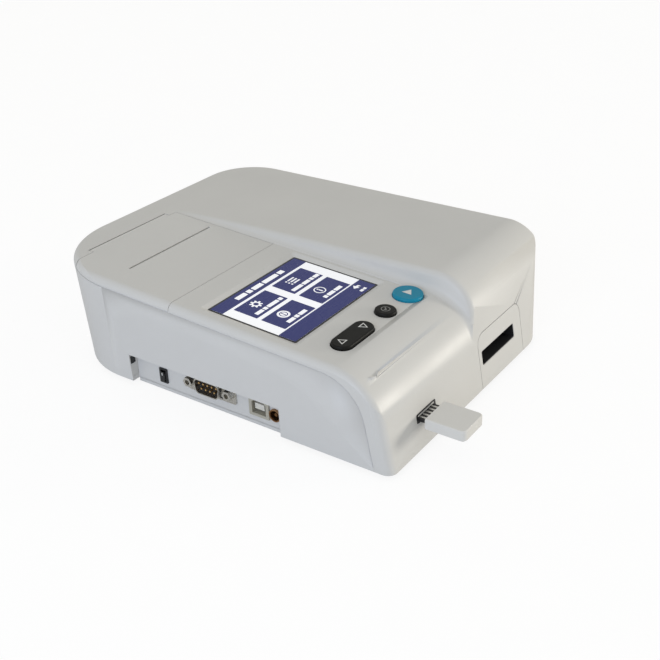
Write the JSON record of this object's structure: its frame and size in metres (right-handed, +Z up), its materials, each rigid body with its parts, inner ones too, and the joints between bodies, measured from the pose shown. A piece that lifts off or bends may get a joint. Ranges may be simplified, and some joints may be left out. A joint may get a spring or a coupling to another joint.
{
  "type": "rapid test reader",
  "caption": "Bench-top reader for rapid test cassettes: sloping panel with screen and keys, ticket printer under a hinged lid, hood over a test tray, side sockets and a plug-in code chip.",
  "frame": {"origin": "on the table, under the middle of the bounding box of the reader with its code chip plugged in", "axes": "+Z up, -Y is the front with the keys and the test slot, +X is to the right of a person facing the front"},
  "size_m": [0.1721, 0.241, 0.061],
  "materials": {
    "case_plastic": "fine matte",
    "lower_plastic": "fine matte",
    "rubber": "matte",
    "steel": "plain",
    "screen_glass": "clear over a lit picture",
    "display_body": "matte",
    "key_blue": "satin",
    "key_black": "satin",
    "board_green": "satin",
    "plate_white": "fine matte",
    "socket_beige": "matte",
    "black_plastic": "matte",
    "plated_metal": "bright",
    "contact_brass": "bright",
    "chip_plastic": "fine matte",
    "paper": "matte paper",
    "tray_plastic": "matte",
    "gear_plastic": "matte",
    "motor_can": "plain",
    "optics_black": "anodised black",
    "lens_glass": "clear",
    "cell_steel": "plain"
  },
  "bodies": {
    "chassis": {"lower_casing": "lower_plastic", "upper_cover": "case_plastic", "lid_hinge_pin": "steel", "port_cover": "case_plastic", "rubber_feet": "rubber", "casing_screws": "steel", "touch_panel": "screen_glass", "display_module": "display_body", "display_bracket": "steel", "key_board": "board_green", "key_board_screws": "steel", "key_switches": "black_plastic", "port_plate": "plate_white", "serial_shell": "plated_metal", "serial_insert": "black_plastic", "serial_pins": "contact_brass", "jack_screws": "plated_metal", "usb_shell": "plated_metal", "usb_insert": "socket_beige", "power_jack": "black_plastic", "jack_contacts": "contact_brass", "power_switch": "black_plastic", "port_board": "board_green", "port_board_parts": "black_plastic", "chip_socket": "black_plastic", "socket_contacts": "contact_brass", "printer_frame": "black_plastic", "thermal_head": "optics_black", "printer_motor": "motor_can", "printer_screws": "steel", "tray_base": "black_plastic", "tray_screws": "steel", "drive_motor": "motor_can", "motor_bracket": "steel", "optics_housing": "optics_black", "optics_lenses": "lens_glass", "photodiode": "motor_can", "led_emitter": "lens_glass", "main_board": "board_green", "board_chips": "black_plastic", "coin_cell": "cell_steel", "cell_holder": "black_plastic", "board_screws": "steel"},
    "lid": {"printer_lid": "case_plastic"},
    "start_button": {"start_key": "key_blue"},
    "confirm_button": {"confirm_key": "key_black"},
    "rocker_button": {"rocker_key": "key_black"},
    "power_rocker_set": {"power_rocker": "black_plastic"},
    "chip_set": {"code_chip": "chip_plastic", "chip_tongue": "black_plastic"},
    "tray_set": {"tray": "tray_plastic", "tray_rack": "gear_plastic"},
    "pinion_set": {"drive_pinion": "gear_plastic", "drive_shaft": "steel"},
    "platen_set": {"platen_roller": "rubber", "platen_shaft": "steel", "platen_gear": "gear_plastic"},
    "printer_pinion_set": {"printer_pinion": "contact_brass"},
    "roll_set": {"paper_roll": "paper", "paper_spool": "gear_plastic"}
  },
  "joints": [
    {"name": "tray_slide", "type": "slide", "parent": "chassis", "child": "tray_set", "axis": [0, -1, 0], "range_m": [0, 0.084]},
    {"name": "pinion_spin", "type": "hinge", "parent": "chassis", "child": "pinion_set", "pos_m": [0.04745, -0.05806, 0.01495], "axis": [0, 0, 1], "range_deg": [-5, 675]},
    {"name": "lid_hinge", "type": "hinge", "parent": "chassis", "child": "lid", "pos_m": [-0.037, 0.09894, 0.0591], "axis": [-1, 0, 0], "range_deg": [0, 72]},
    {"name": "start_press", "type": "slide", "parent": "chassis", "child": "start_button", "axis": [0, 0.0584, -0.9983], "range_m": [0, 0.001], "stiffness_N_per_m": 500, "springref_m": -0.0008},
    {"name": "confirm_press", "type": "slide", "parent": "chassis", "child": "confirm_button", "axis": [0, 0.0584, -0.9983], "range_m": [0, 0.001], "stiffness_N_per_m": 500, "springref_m": -0.0008},
    {"name": "rocker_tilt", "type": "hinge", "parent": "chassis", "child": "rocker_button", "pos_m": [-0.0582, -0.06128, 0.04848], "axis": [0, 0.9983, 0.0584], "range_deg": [-2.5, 2.5], "stiffness_Nm_per_rad": 0.15},
    {"name": "power_tilt", "type": "hinge", "parent": "chassis", "child": "power_rocker_set", "pos_m": [-0.07831, 0.04134, 0.0096], "axis": [0, 1, 0], "range_deg": [-7, 7]},
    {"name": "chip_slide", "type": "slide", "parent": "chassis", "child": "chip_set", "axis": [0, -1, 0], "range_m": [0, 0.024]},
    {"name": "roll_spin", "type": "hinge", "parent": "chassis", "child": "roll_set", "pos_m": [-0.0376, 0.04534, 0.03], "axis": [1, 0, 0], "continuous": true},
    {"name": "platen_spin", "type": "hinge", "parent": "chassis", "child": "platen_set", "pos_m": [-0.0376, 0.06284, 0.04895], "axis": [1, 0, 0], "continuous": true},
    {"name": "printer_pinion_spin", "type": "hinge", "parent": "chassis", "child": "printer_pinion_set", "pos_m": [-0.0376, 0.06692, 0.04034], "axis": [1, 0, 0], "continuous": true}
  ],
  "couplings": [
    {"joint": "pinion_spin", "follows": "tray_slide", "rad_per_m": 138.89},
    {"joint": "platen_spin", "follows": "roll_spin", "ratio": -3.2},
    {"joint": "printer_pinion_spin", "follows": "roll_spin", "ratio": 6.9333}
  ]
}
